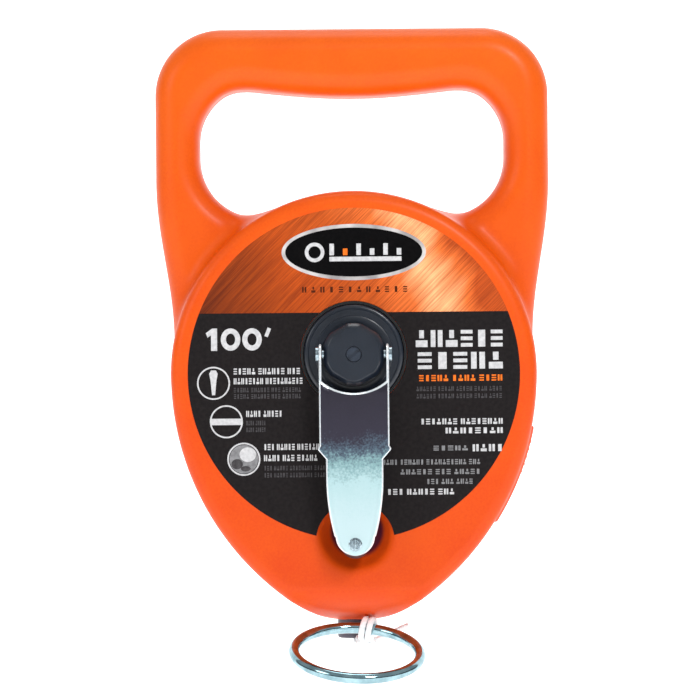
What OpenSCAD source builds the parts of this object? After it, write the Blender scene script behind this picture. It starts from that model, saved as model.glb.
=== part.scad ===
// Chalk line reel: D-handled case, folding crank on a spool, fill door, line nozzle and ring.
// Each piece is drawn as if the case lay on its back: X across, Y towards the grip, Z out of the
// face. upright() then stands it with its face to -Y and the grip bar's middle at the origin.

/* [Case] */
// Radius of the drum
drum_r = 60; // [59:0.5:61]
// Depth of the drum, rear face to front face
case_depth = 50; // [48:1:54]
// Wall thickness of the two shells
wall = 2.6; // [2.2:0.1:3]
// Radius of the two long arcs that run from the drum to the nose
flank_r = 91; // [90:0.5:92]
// Distance from the drum's centre to the tip of the nose
nose_drop = 81.7; // [81:0.1:82.5]
// Radius of the rounded tip
nose_r = 36; // [34:0.5:38]
// Radius of the drum's rounded rim
rim_r = 4; // [3:0.5:5]

/* [Handle] */
// Half of the width across the handle
handle_half = 64.8; // [63:0.1:67]
// Height of the handle's top above the drum's centre
handle_top = 113.9; // [112:0.1:118]
// Depth of the handle
handle_depth = 30; // [26:1:34]
// Radius of the handle's outer corners
handle_corner = 22; // [20:1:24]
// Radius of the handle's rounded edges
handle_edge = 8; // [6:1:9]
// Half of the width of the hand opening
opening_half = 50.4; // [48:0.1:52]
// Height of the top of the hand opening
opening_top = 95.4; // [94:0.1:97]
// Height of the lowest point of the hand opening
opening_low = 51.7; // [50:0.1:54]
// How far the grip swells down into the opening
grip_swell = 3.7; // [2:0.1:4.5]

/* [Face] */
// Radius of the printed face disc
label_r = 54.3; // [53:0.1:55]
// Height of the hub above the drum's centre
hub_y = 6.4; // [5:0.1:8]
// Radius of the hub disc
hub_r = 16.3; // [15:0.1:16.6]
// Radius of the dish in the face under the crank's tip
dish_r = 11; // [10:0.1:12]
// Distance from the drum's centre down to the dish
dish_drop = 52.2; // [50:0.1:54]
// Depth of the dish
dish_depth = 8.5; // [7:0.5:10]

/* [Crank] */
// Distance from the hinge to the knob
crank_reach = 61.7; // [58:0.1:62]
// Width across the crank's side flanges
crank_w = 22.8; // [22.6:0.1:24]
// Thickness of the crank's steel
crank_t = 1; // [0.8:0.1:1.2]
// Radius of the knob
knob_r = 4.8; // [4:0.1:6]

/* [Reel] */
// Radius of the spool's flanges
spool_r = 43; // [41:0.5:45]
// Outer radius of the full winding
wound_r = 40; // [30:1:40]
// Diameter of the line
line_d = 2; // [1.4:0.1:2]

/* [Ring] */
// Radius of the ring, to the middle of its wire
ring_r = 20.5; // [19:0.5:22]
// Diameter of the ring's wire
wire_d = 3.6; // [3:0.1:3.8]
// How far the ring's front edge dips below level
ring_dip = 20; // [15:0.1:30]

/* [Hidden] */
$fn = 96;
gap = 0.3;             // between pieces that move past each other
fit = 0.06;            // between a pin and the bore that turns on it
past = 1;              // how far a cutter runs past what it cuts
face = case_depth / 2; // the front face; the rear face is at -face
grip_y = (handle_top + opening_top - grip_swell) / 2;

// Handle
leg_bottom = 11;       // where the legs have died into the drum
leg_top = 64;          // where the legs reach their full width
leg_flare = 5.6;       // how much wider the handle is than the legs' lower ends
leg_steps = 8;
upper_r = 18.5;        // upper corners of the hand opening
lower_r = 20;          // lower corners of the hand opening
edge_steps = 4;        // steps in each rounded edge
handle_wall = 3.2;

// Flanks and nose
flank_x = flank_r - drum_r + 0.05;
nose_y = nose_r - nose_drop;
nose_start = -70;      // above this the nose's rounding has no effect
nose_round = 14;       // height over which the nose rounds off front and back

// Fill door: angles are measured down from level at the flank's centre
door_from = 11;
door_to = 32.7;
door_travel = 20;
mouth_from = 13;
mouth_to = 30.5;
mouth_half = 12;
door_half = 15;
tongue_half = 17;
tongue_t = 1;
door_proud = 1;
channel_r = flank_r - 2.4;
frame_r = flank_r - 4.8;
rib_w = 1.2;
rib_count = 5;

// Hub, bearings and reel
recess_r = 17.4;
recess_floor = face - 2.8;
disc_back = recess_floor + 0.8;
disc_front = face + 1;
stem_r = 7;
bush_r = 9;
bush_flange_r = 12;
bush_flange_t = 1.4;
hub_boss_r = 20;
hub_boss_back = face - 6;
axle_r = 3;
axle_fit = 0.02;
axle_front = 16;
rear_floor = -face + 3;
rear_boss_r = 9;
rear_boss_front = -face + 8;
rear_bush_r = 5;
rear_flange_r = 7;
spool_half = 14.6;
flange_t = 1.6;
core_r = 9;
tenon = 8;
tenon_back = 9;
bolt_r = 1.6;
bolt_head_r = 2.4;

// Crank, at rest against the case with its knob towards the dish
crank_front = face + 12;
crank_back = crank_front - crank_t;
hinge_z = face + 6.75;
boss_half = 9.75;
boss_round = 10.2;
boss_front = face + 10.2;
pin_r = 1.5;
pin_head_r = 2.6;
pin_in = 5;
ear_r = 3.4;
plate_half = 9.3;
plate_side_r = 54;
plate_end = crank_reach + 4.8;
rivet_r = 1.6;
knob_back = face + 0.6;
knob_front = crank_back - gap;

// Dish
dish_ball = (dish_r * dish_r + dish_depth * dish_depth) / (2 * dish_depth);
dish_z = face + dish_ball - dish_depth;
dish_wall = 2.4;
notch_r = 12.9;         // the label is cut away round the dish
notch_drop = 54.9;

// Screws
SCREWS = [[50, 100], [55.5, 40], [22, -64]];
screw_r = 1.5;
screw_head_r = 3;
screw_head_t = 2;
screw_seat = -11;
screw_tip = 7;
post_r = 5;

// Nozzle, felts and line
nozzle_r = 6;
nozzle_end = -87.6;
nozzle_top = -74;
nozzle_flange_r = 7.5;
nozzle_flange_t = 2.5;
nozzle_hole_r = 1.4;
felt_top = -63.5;
felt_bottom = -70.5;
felt_half = 6;
felt_t = 4;
line_r = line_d / 2;
line_meet = -84;       // where the inner run of line meets the end outside
feed_y = -62;          // the inner run turns down towards the nozzle here

// Ring: it hangs at this point of its wire, a little to the right of the middle
ring_at = [4, -84, 14];
ring_roll = 3;
ring_skew = -9.5;

// End of the line: down out of the nozzle, forward to the ring, twice round its wire, then the tail
TO_RING = [[0, -84, 0], [0, -86.4, 0], [0.1, -88, 0.8], [0.4, -88.9, 2.4], [0.9, -89, 4.6],
           [1.5, -89, 7], [2.1, -88.9, 9.4], [2.5, -88.3, 11.6]];
TAIL = [[5, -86.6, 10.4], [4.9, -87.8, 9], [6.4, -87.9, 8], [8.6, -87.4, 8], [10.8, -86.4, 8.6],
        [13, -85.2, 9.2], [15.2, -84.1, 9.6], [17.4, -83.2, 9.8]];
loop_turns = 2;
loop_steps = 12;       // points in each turn
loop_r = wire_d / 2 + line_r + 0.4;
loop_pitch = line_d + 0.2;
knot_at = [3.2, -88, 8.4];
knot_r = 2.3;
knot_half = 1.5;

// ---------------------------------------------------------------- shared shapes

module upright() {
    translate([0, 0, -grip_y]) rotate([90, 0, 0]) children();
}

module both() {
    children();
    mirror([1, 0, 0]) children();
}

module layer(z0, z1) {
    translate([0, 0, z0]) linear_extrude(z1 - z0) children();
}

module rod(r, z0, z1) {
    translate([0, 0, z0]) cylinder(r = r, h = z1 - z0);
}

module block(low, high) {
    translate(low) cube(high - low);
}

// A cylinder along X or along Y
module rod_x(r, x0, x1) {
    translate([x0, 0, 0]) rotate([0, 90, 0]) cylinder(r = r, h = x1 - x0);
}

module rod_y(r, y0, y1) {
    translate([0, y1, 0]) rotate([90, 0, 0]) cylinder(r = r, h = y1 - y0);
}

// A band of a cylinder between two angles below level, round the flank's centre
module flank_band(r0, r1, half, from, to) {
    translate([-flank_x, 0, -half]) rotate([0, 0, -to]) rotate_extrude(angle = to - from)
        translate([r0, 0]) square([r1 - r0, 2 * half]);
}

// A tube of 8 sides through points, as one solid
function unit(v) = v / norm(v);
function heading(p, i) = unit(p[min(i + 1, len(p) - 1)] - p[max(i - 1, 0)]);
function side_of(h) = unit(cross(h, abs(h[0]) > 0.8 ? [0, 0, 1] : [1, 0, 0]));
function carried(s, h) = unit(s - (s * h) * h);
function sides(p, i = 0, acc = []) = i == len(p) ? acc
    : sides(p, i + 1, concat(acc, [i == 0 ? side_of(heading(p, 0)) : carried(acc[i - 1], heading(p, i))]));

module tube_through(p, r) {
    count = 8;
    s = sides(p);
    ring_points = [for (i = [0 : len(p) - 1]) for (k = [0 : count - 1])
        let (a = 360 * k / count, h = heading(p, i))
        p[i] + r * (cos(a) * s[i] + sin(a) * cross(h, s[i]))];
    skin = [for (i = [0 : len(p) - 2]) for (k = [0 : count - 1])
        let (n = (k + 1) % count, a = i * count, b = a + count)
        [a + k, b + k, b + n, a + n]];
    ends = [[for (k = [0 : count - 1]) k],
            [for (k = [count - 1 : -1 : 0]) (len(p) - 1) * count + k]];
    polyhedron(ring_points, concat(skin, ends), convexity = 4);
}

// ---------------------------------------------------------------- case outline

function leg_half(y) = handle_half - leg_flare
    * (1 + cos(180 * min(1, max(0, (y - leg_bottom) / (leg_top - leg_bottom))))) / 2;

// The handle's outer outline, drawn in by inset
module handle_outer(inset) {
    leg_ys = [for (i = [0 : leg_steps]) leg_bottom + (leg_top - leg_bottom) * i / leg_steps];
    shoulder = handle_top - handle_corner;
    both() {
        polygon(concat([[0, leg_bottom]], [for (y = leg_ys) [leg_half(y) - inset, y]],
                       [[handle_half - inset, shoulder], [0, shoulder]]));
        translate([handle_half - handle_corner, shoulder]) circle(handle_corner - inset);
        translate([-1, shoulder - 1]) square([handle_half - handle_corner + 1, handle_corner + 1 - inset]);
    }
}

// The hand opening, grown by inset
module hand_opening(inset) {
    swell_r = (pow(opening_half - lower_r, 2) + pow(grip_swell, 2)) / (2 * grip_swell);
    upper_y = opening_top - upper_r;
    lower_y = opening_low + lower_r;
    difference() {
        both() {
            translate([opening_half - upper_r, upper_y]) circle(upper_r + inset);
            translate([opening_half - lower_r, lower_y]) circle(lower_r + inset);
            translate([-1, lower_y]) square([opening_half + 1 + inset, upper_y - lower_y]);
            translate([-1, opening_low - inset])
                square([opening_half - upper_r + 1, opening_top - opening_low + 2 * inset]);
            translate([-1, opening_low - inset])
                square([opening_half - lower_r + 1, lower_r + inset]);
        }
        circle(drum_r - inset);
        translate([0, opening_top - grip_swell + swell_r]) circle(swell_r - inset);
    }
}

module handle_outline(inset) {
    difference() {
        handle_outer(inset);
        hand_opening(inset);
    }
}

// A rounded edge is made of layers: how far out layer i reaches, and how far in it steps
function step_z(half, edge, i) = half - edge * (1 - sin(90 * (i + 0.5) / (edge_steps + 0.5)));
function step_in(edge, i) = edge * (1 - cos(90 * i / (edge_steps + 0.5)));

module handle_body() {
    for (i = [0 : edge_steps]) {
        z = step_z(handle_depth / 2, handle_edge, i);
        layer(-z, z) handle_outline(step_in(handle_edge, i));
    }
}

module handle_hollow() {
    half = handle_depth / 2 - handle_wall;
    layer(-half, half) difference() {
        intersection() {
            handle_outline(handle_wall + 1.5);
            translate([-handle_half, 26]) square([2 * handle_half, handle_top]);
        }
        circle(drum_r + 0.5);
    }
}

// The drum, flanks and nose, drawn in by inset
module drum_outline(inset) {
    circle(drum_r - inset);
    intersection() {
        translate([-flank_x, 0]) circle(flank_r - inset);
        translate([flank_x, 0]) circle(flank_r - inset);
        union() {
            translate([-2 * drum_r, nose_start]) square([4 * drum_r, -nose_start]);
            translate([0, nose_y]) circle(nose_r - inset);
        }
    }
}

// The nose seen from the side: flat faces that round off to the tip
module nose_profile(inset) {
    bend_y = nose_round - nose_drop;
    half = face - inset + 0.4;
    bend = [for (a = [0 : 10 : 180]) [bend_y - (nose_round - inset) * sin(a), half * cos(a)]];
    rotate([90, 0, 90]) translate([0, 0, -drum_r - past]) linear_extrude(2 * (drum_r + past))
        polygon(concat([[drum_r + past, half]], bend, [[drum_r + past, -half]]));
}

module drum_body(inset, edge) {
    intersection() {
        for (i = [0 : edge_steps]) {
            z = step_z(face - inset, edge, i);
            layer(-z, z) drum_outline(inset + step_in(edge, i));
        }
        nose_profile(inset);
    }
}

// ---------------------------------------------------------------- case details

module screw_posts(z0, z1) {
    both() for (at = SCREWS) translate(at) rod(post_r, z0, z1);
}

module inside_case() {
    intersection() {
        children();
        union() {
            drum_body(wall / 2, rim_r);
            layer(-handle_depth / 2 + 1, handle_depth / 2 - 1) handle_outline(wall);
        }
    }
}

// Thick wall behind the door's channel
module door_frame() {
    flank_band(frame_r, flank_r - wall / 2, tongue_half + 2, door_from - 5, door_to + door_travel + 3);
}

module door_channel() {
    from = door_from - 1;
    to = door_to + door_travel + 1;
    flank_band(channel_r, flank_r + past, door_half + gap, from, to);
    flank_band(channel_r, channel_r + tongue_t + 2 * gap, tongue_half + gap, from, to);
    flank_band(frame_r - 4, channel_r + past, mouth_half, mouth_from, mouth_to);
}

module nozzle_block() {
    block([-10, -79.5, -9.5], [10, nozzle_top + 1.5, 9.5]);
}

module nozzle_seat() {
    rod_y(nozzle_r, nozzle_end, nozzle_top);
    rod_y(nozzle_flange_r, nozzle_top - nozzle_flange_t, nozzle_top);
    rod_y(line_d, nozzle_top - past, nozzle_top + 2 + past);
}

module dish(grow) {
    translate([0, -dish_drop, dish_z]) sphere(dish_ball + grow);
}

module screw_holes(head_z0) {
    both() for (at = SCREWS) translate(at) {
        rod(screw_r, screw_seat - past, screw_tip);
        rod(screw_head_r + 0.3, head_z0, screw_seat);
    }
}

// Both shells before they are parted at the middle
module case_solid() {
    difference() {
        union() {
            difference() {
                union() {
                    drum_body(0, rim_r);
                    handle_body();
                }
                drum_body(wall, 1.5);
                handle_hollow();
            }
            inside_case() {
                screw_posts(-face, face);
            }
            intersection() {
                union() {
                    door_frame();
                    nozzle_block();
                }
                drum_body(wall / 2, rim_r);
            }
        }
        door_channel();
        nozzle_seat();
    }
}

// ---------------------------------------------------------------- nodes

module front_shell() {
    color("darkorange") upright() difference() {
        union() {
            intersection() {
                case_solid();
                block([-80, -95, 0], [80, 120, 40]);
            }
            translate([0, hub_y, 0]) rod(hub_boss_r, hub_boss_back, face - 1);
            intersection() {
                dish(dish_wall);
                block([-20, -75, 10], [20, -38, face - 1]);
            }
            block([-felt_half, felt_bottom, 1 + felt_t], [felt_half, felt_top, face - 1]);
        }
        dish(0);
        translate([0, hub_y, 0]) {
            rod(recess_r, recess_floor, face + past);
            rod(bush_r, hub_boss_back - past, face);
        }
        rod(label_r + 0.2, face - 0.4, face + past);
        screw_holes(-face);
    }
}

module rear_shell() {
    color("darkorange") upright() difference() {
        union() {
            intersection() {
                case_solid();
                block([-80, -95, -40], [80, 120, 0]);
            }
            translate([0, hub_y, 0]) rod(rear_boss_r, 1 - face, rear_boss_front);
            block([-felt_half, felt_bottom, 1 - face], [felt_half, felt_top, -1 - felt_t]);
        }
        translate([0, hub_y, 0]) rod(rear_bush_r, rear_floor, rear_boss_front + past);
        screw_holes(-face - past);
    }
}

module case_screws() {
    color("silver") upright() both() for (at = SCREWS) translate(at) difference() {
        union() {
            rod(screw_r, screw_seat - past, screw_tip);
            rod(screw_head_r, screw_seat - screw_head_t, screw_seat);
        }
        for (turn = [0, 90]) rotate([0, 0, turn])
            block([-2, -0.4, screw_seat - screw_head_t - past], [2, 0.4, screw_seat - 1]);
    }
}

module face_label() {
    color("black") upright() layer(face - 0.4, face) difference() {
        circle(label_r);
        translate([0, hub_y]) circle(recess_r);
        translate([0, -notch_drop]) circle(notch_r);
    }
}

module chalk_door() {
    ribs_from = door_from + 3;
    rib_step = 1.6;
    color("darkorange") upright() {
        flank_band(channel_r + gap, channel_r + gap + tongue_t, tongue_half, door_from, door_to);
        flank_band(channel_r + gap, flank_r + door_proud, door_half, door_from, door_to);
        for (i = [0 : rib_count - 1])
            flank_band(flank_r, flank_r + door_proud + 0.5, door_half - 4, ribs_from + rib_step * i,
                       ribs_from + rib_step * i + rib_w * 0.6);
    }
}

module line_nozzle() {
    color("dimgray") upright() difference() {
        union() {
            rod_y(nozzle_r, nozzle_end, nozzle_top);
            rod_y(nozzle_flange_r, nozzle_top - nozzle_flange_t, nozzle_top);
        }
        rod_y(nozzle_hole_r, nozzle_end - past, nozzle_top + past);
        translate([0, nozzle_end, 0]) rotate([90, 0, 0]) rotate_extrude() difference() {
            translate([0, -2]) square([nozzle_hole_r + 2, 2 + past]);
            translate([nozzle_hole_r + 2, -2]) circle(2);
        }
    }
}

module wiper_felts() {
    color("ivory") upright() for (side = [-1, 1])
        block([-felt_half, felt_bottom, side * (1 + felt_t / 2) - felt_t / 2],
              [felt_half, felt_top, side * (1 + felt_t / 2) + felt_t / 2]);
}

module hub_felt() {
    color("gray") upright() translate([0, hub_y, 0]) difference() {
        rod(hub_r - 0.5, recess_floor, recess_floor + 0.6);
        rod(bush_r + 0.5, recess_floor - past, recess_floor + past);
    }
}

module front_bush() {
    color("goldenrod") upright() translate([0, hub_y, 0]) difference() {
        union() {
            rod(bush_r, hub_boss_back, recess_floor);
            rod(bush_flange_r, hub_boss_back - bush_flange_t, hub_boss_back);
        }
        rod(stem_r + fit, hub_boss_back - bush_flange_t - past, recess_floor + past);
    }
}

module rear_bush() {
    color("goldenrod") upright() translate([0, hub_y, 0]) difference() {
        union() {
            rod(rear_bush_r, rear_floor, rear_boss_front);
            rod(rear_flange_r, rear_boss_front, rear_boss_front + 1);
        }
        rod(axle_r + fit, rear_floor - past, rear_boss_front + 1 + past);
    }
}

module reel_spool() {
    color("white") upright() translate([0, hub_y, 0]) difference() {
        union() {
            rod(core_r, -spool_half, spool_half);
            rod(spool_r, -spool_half, flange_t - spool_half);
            rod(spool_r, spool_half - flange_t, spool_half);
        }
        rod(axle_r + axle_fit, -spool_half - past, spool_half + past);
        layer(tenon_back - 0.2, spool_half + past) square(tenon + 0.2, center = true);
        for (turn = [0 : 60 : 300]) rotate([0, 0, turn]) translate([spool_r * 0.65, 0, 0])
            rod(7, -spool_half - past, flange_t - spool_half + past);
    }
}

module wound_line() {
    color("deepskyblue") upright() translate([0, hub_y, 0]) difference() {
        rod(wound_r, flange_t - spool_half + 0.2, spool_half - flange_t - 0.2);
        rod(core_r + 0.1, -spool_half, spool_half);
    }
}

module reel_axle() {
    color("silver") upright() translate([0, hub_y, 0]) difference() {
        rod(axle_r, rear_floor + 0.2, axle_front);
        rod(bolt_r, axle_front - 8, axle_front + past);
    }
}

module drag_spring() {
    rise = 1.6;
    color("silver") upright() translate([0, hub_y, spool_half + 0.1]) rotate_extrude()
        polygon([[stem_r + 4.5, 0], [stem_r + 4.5, 0.5], [stem_r + 0.5, rise + 0.5], [stem_r + 0.5, rise]]);
}

module hub_disc() {
    step_r = 12.2;
    color("darkslategray") upright() translate([0, hub_y, 0]) difference() {
        union() {
            rotate_extrude() {
                translate([0, disc_back]) square([hub_r - 1, disc_front - disc_back]);
                translate([0, disc_back]) square([hub_r, disc_front - disc_back - 1]);
                translate([hub_r - 1, disc_front - 1]) circle(1);
            }
            rod(step_r, disc_front - past, disc_front + 0.4);
            rod(stem_r, spool_half + 0.1, disc_back + past);
            layer(tenon_back, spool_half + past) square(tenon, center = true);
        }
        rod(axle_r + axle_fit, tenon_back - past, axle_front);
        rod(bolt_r + axle_fit, axle_front - past, disc_front + 2);
    }
}

module hex_boss() {
    chamfer = 1.5;
    color("darkslategray") upright() translate([0, hub_y, 0]) difference() {
        intersection() {
            layer(disc_front + 0.4, boss_front) intersection() {
                rotate([0, 0, 30]) circle(boss_half / cos(30), $fn = 6);
                circle(boss_round);
            }
            rotate_extrude() polygon([[0, face], [boss_round + 1, face],
                                      [boss_round + 1, boss_front - chamfer - 0.5],
                                      [boss_round - chamfer, boss_front + 0.5], [0, boss_front + 0.5]]);
        }
        rod(bolt_r + axle_fit, face, boss_front - 2);
        rod(bolt_head_r + gap, boss_front - 3, boss_front + past);
        translate([0, 0, hinge_z]) both() rod_x(pin_r, pin_in, boss_half + past);
    }
}

module hub_screw() {
    color("slategray") upright() translate([0, hub_y, 0]) difference() {
        union() {
            rod(bolt_r, axle_front - 8, boss_front - 2);
            rod(bolt_head_r, boss_front - 3, boss_front - 1);
        }
        rotate([0, 0, 40]) block([-5, -0.5, boss_front - 1.8], [5, 0.5, boss_front]);
    }
}

module hinge_pins() {
    out = crank_w / 2 + 0.1;
    color("silver") upright() translate([0, hub_y, hinge_z]) both() {
        rod_x(pin_r, pin_in, out + 0.5);
        rod_x(pin_head_r, out, out + 0.9);
    }
}

// The crank's flat outline, with the hinge at the origin
module crank_outline() {
    shoulder = -31;
    neck = -34;
    side_from = -40;
    intersection() {
        union() {
            both() polygon([[0, -5], [crank_w / 2, -5], [crank_w / 2, shoulder + 1],
                            [crank_w / 2 + 0.5, shoulder + 0.6], [crank_w / 2 + 0.5, shoulder - 0.4],
                            [plate_half, neck], [plate_half, side_from], [0, side_from]]);
            intersection() {
                both_sides_arc(side_from);
                translate([-plate_half, -plate_end]) square([2 * plate_half, plate_end + side_from + 0.1]);
            }
        }
        union() {
            translate([-crank_w, 6 - plate_end]) square([2 * crank_w, plate_end]);
            translate([0, 5.2 - plate_end]) circle(5.2);
        }
    }
}

// Where the two long arcs of the crank's sides overlap
module both_sides_arc(side_from) {
    reach = plate_side_r - plate_half;
    intersection() {
        translate([-reach, side_from]) circle(plate_side_r);
        translate([reach, side_from]) circle(plate_side_r);
    }
}

// One flange seen from the side, as [along the crank, out of the face]
module flange_outline() {
    low = hinge_z - ear_r;
    polygon([[-30.5, crank_front - 0.5], [-9, crank_front - 0.5], [-1.5, hinge_z + 3], [-0.5, hinge_z],
             [-2, low + 0.4], [-24, hinge_z - 0.4], [-30.5, crank_front - 3]]);
    translate([0, hinge_z]) circle(ear_r);
}

module crank_arm() {
    color("lightgray") upright() translate([0, hub_y, 0]) difference() {
        union() {
            layer(crank_back, crank_front) difference() {
                crank_outline();
                translate([0, 3.6]) circle(16.2);
            }
            both() translate([crank_w / 2 - crank_t, 0, 0]) rotate([90, 0, 90])
                linear_extrude(crank_t) flange_outline();
        }
        translate([0, -crank_reach, 0]) rod(rivet_r, crank_back - past, crank_front + past);
        translate([0, 0, hinge_z]) rod_x(pin_r + fit, -crank_w, crank_w);
    }
}

module knob_rivet() {
    color("slategray") upright() translate([0, hub_y - crank_reach, 0]) {
        rod(rivet_r, knob_back + 0.2, crank_front + 0.1);
        rod(2.2, crank_front, crank_front + 0.5);
        rod(2.6, knob_back + 0.2, knob_back + 0.9);
    }
}

module crank_knob() {
    color("dimgray") upright() translate([0, hub_y - crank_reach, 0]) difference() {
        rotate_extrude() polygon([[0, knob_back], [knob_r - 0.8, knob_back], [knob_r, knob_back + 0.8],
                                  [knob_r, knob_back + 4], [knob_r - 0.7, knob_front - 1.5],
                                  [knob_r - 1.2, knob_front], [0, knob_front]]);
        rod(rivet_r + fit, knob_back - past, knob_front + past);
        rod(2.9, knob_back - past, knob_back + 1.2);
    }
}

// Carries a piece from the ring's own plane, where its wire runs along X at the origin
module at_ring() {
    translate(ring_at) rotate([0, 0, -ring_roll]) rotate([ring_dip, 0, 0]) rotate([0, ring_skew, 0])
        children();
}

module hook_ring() {
    color("silver") upright() at_ring() translate([0, 0, ring_r]) rotate([90, 0, 0])
        rotate_extrude() translate([ring_r, 0]) circle(wire_d / 2);
}

module line_lead() {
    pull_r = wound_r + line_r + gap;
    drop = hub_y - feed_y;
    swing = acos(pull_r / drop);
    start = [-pull_r * sin(swing), hub_y - pull_r * cos(swing)];
    reach = sqrt(drop * drop - pull_r * pull_r);
    color("deepskyblue") upright() {
        translate([start[0], start[1], 0]) rotate([0, 0, -swing]) rod_x(line_r, 0, reach);
        rod_y(line_r, line_meet, feed_y);
        translate([0, feed_y, 0]) sphere(1.1 * line_r);
    }
}

// Turns about one axis, in the same order as rotate()
function turn_x(p, a) = [p[0], p[1] * cos(a) - p[2] * sin(a), p[1] * sin(a) + p[2] * cos(a)];
function turn_y(p, a) = [p[0] * cos(a) + p[2] * sin(a), p[1], p[2] * cos(a) - p[0] * sin(a)];
function turn_z(p, a) = [p[0] * cos(a) - p[1] * sin(a), p[0] * sin(a) + p[1] * cos(a), p[2]];
function from_ring(p) = ring_at + turn_z(turn_x(turn_y(p, ring_skew), ring_dip), -ring_roll);

// Twice round the ring's wire: under it, up its front, over and down its back
LOOP = [for (i = [0 : loop_turns * loop_steps - 2])
    let (a = 360 * i / loop_steps)
    from_ring([loop_pitch * (i / loop_steps - loop_turns / 2), -loop_r * cos(a), loop_r * sin(a)])];

module line_end() {
    color("white") upright() tube_through(concat(TO_RING, LOOP, TAIL), line_r);
}

module line_knot() {
    color("white") upright() translate(knot_at) {
        rod_x(knot_r, -knot_half, knot_half);
        for (side = [-1, 1]) translate([side * knot_half, 0, 0]) sphere(knot_r);
    }
}

front_shell();
rear_shell();
case_screws();
face_label();
chalk_door();
line_nozzle();
wiper_felts();
hub_felt();
front_bush();
rear_bush();
reel_spool();
wound_line();
reel_axle();
drag_spring();
hub_disc();
hex_boss();
hub_screw();
hinge_pins();
crank_arm();
knob_rivet();
crank_knob();
hook_ring();
line_lead();
line_end();
line_knot();
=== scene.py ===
"""Looks of the chalk line reel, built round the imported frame.

Shapes are drawn in millimetres from the drum's centre: x across, v up, w out of the face.
world() turns such a point into metres in the row frame, where the face looks along -Y.
"""

import math

import bmesh
import bpy
import numpy as np
from mathutils import Euler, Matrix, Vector
from mathutils.geometry import delaunay_2d_cdt

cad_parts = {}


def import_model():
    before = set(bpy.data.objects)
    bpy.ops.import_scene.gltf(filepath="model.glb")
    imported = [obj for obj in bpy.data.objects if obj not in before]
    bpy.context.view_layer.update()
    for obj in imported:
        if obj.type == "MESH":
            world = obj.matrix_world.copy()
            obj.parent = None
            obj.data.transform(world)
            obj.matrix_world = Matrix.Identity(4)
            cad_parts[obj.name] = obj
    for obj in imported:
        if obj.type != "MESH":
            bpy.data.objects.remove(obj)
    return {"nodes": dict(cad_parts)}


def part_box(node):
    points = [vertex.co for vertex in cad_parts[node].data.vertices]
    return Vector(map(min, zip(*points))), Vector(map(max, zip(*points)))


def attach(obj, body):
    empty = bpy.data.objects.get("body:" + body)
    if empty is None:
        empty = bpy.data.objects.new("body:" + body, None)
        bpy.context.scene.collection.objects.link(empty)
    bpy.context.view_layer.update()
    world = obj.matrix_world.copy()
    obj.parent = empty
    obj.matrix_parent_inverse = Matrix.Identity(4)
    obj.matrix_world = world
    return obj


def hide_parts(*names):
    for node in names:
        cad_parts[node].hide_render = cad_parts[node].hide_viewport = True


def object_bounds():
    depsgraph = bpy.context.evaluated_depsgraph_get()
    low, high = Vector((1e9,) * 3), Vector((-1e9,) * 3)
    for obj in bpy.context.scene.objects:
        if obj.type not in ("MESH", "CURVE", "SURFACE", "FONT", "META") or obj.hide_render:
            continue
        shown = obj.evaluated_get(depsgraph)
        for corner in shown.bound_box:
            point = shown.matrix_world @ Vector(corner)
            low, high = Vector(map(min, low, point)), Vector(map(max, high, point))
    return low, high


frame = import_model()
cad_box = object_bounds()

MM = 0.001
HANDLE_TOP = 113.9
DRUM_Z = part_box("front_shell")[1][2] - HANDLE_TOP * MM
FACE = -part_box("front_shell")[0][1] / MM
HUB_V = (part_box("hub_disc")[0][2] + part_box("hub_disc")[1][2] - 2 * DRUM_Z) / 2 / MM

DRUM_R = 60
FLANK_R = 91
FLANK_X = 31.05
NOSE_R = 36
NOSE_V = -45.7
NOSE_ROUND = 14
NOSE_BEND_V = -67.7
WALL = 2.6
HANDLE_HALF = 64.8
HANDLE_CORNER = 22
HANDLE_EDGE = 8
HANDLE_HALF_DEPTH = 15
LEG_LOW = 11
LEG_RISE = 53
LEG_FLARE = 5.6
OPENING_HALF = 50.4
OPENING_LOW = 51.7
OPENING_TOP = 95.4
SWELL_R = 143.7
SWELL_LOW = 91.7
CHANNEL_R = 88.6
DOOR_FROM = 11.0
DOOR_TO = 32.7
DOOR_TRAVEL = 20
DOOR_HALF = 15.0
DOOR_GAP = 0.3
DOOR_PROUD = 1
FILM = 0.06
LABEL_R = 54.3
LABEL_SPLIT = 20.1
DISH_V = -52.2
DISH_BALL = 11.37
DISH_DEPTH = 8.5
DISH_W = FACE + DISH_BALL - DISH_DEPTH
NOTCH_V = -54.9
NOTCH_R = 12.9
RECESS_R = 17.4
RECESS_W = FACE - 2.8
BUSH_R = 9
CRANK_FRONT = FACE + 12
CRANK_HALF = 11.4
CRANK_TIP = -65.4
KNOB_V = HUB_V - 61.7
SCREW_POST_R = 5
SCREW_HOLE_R = 3.3
SCREW_SEAT = -11
SCREWS = [(x * side, v) for x, v in ((50, 100), (55.5, 40), (22, -64)) for side in (-1, 1)]
RING_AT = Vector((4, -84, 14))
RING_R = 20.5
RING_DIP = 20
RING_SKEW = -9.5
RING_ROLL = 3
WIRE_R = 1.8
LINE_R = 1.0
NOZZLE_R = 6.0
NOZZLE_END = -87.6
NOZZLE_TOP = -74.0


def world(p):
    """A drawn point in millimetres as metres in the row frame."""
    return (p[0] * MM, -p[2] * MM, p[1] * MM + DRUM_Z)


# ---------------------------------------------------------------- materials


def linear(red, green, blue):
    """A screen colour of 0 to 255 as the linear colour that the shaders take."""
    parts = [c / 255 for c in (red, green, blue)]
    return tuple(c / 12.92 if c < 0.04045 else ((c + 0.055) / 1.055) ** 2.4 for c in parts) + (1,)


def set_ramp(node, stops):
    """Gives a colour ramp its stops, each a place and a colour."""
    marks = node.color_ramp.elements
    while len(marks) < len(stops):
        marks.new(0.5)
    for mark, (place, colour) in zip(marks, stops):
        mark.position = place
        mark.color = colour


M = {}  # the materials by name


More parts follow.
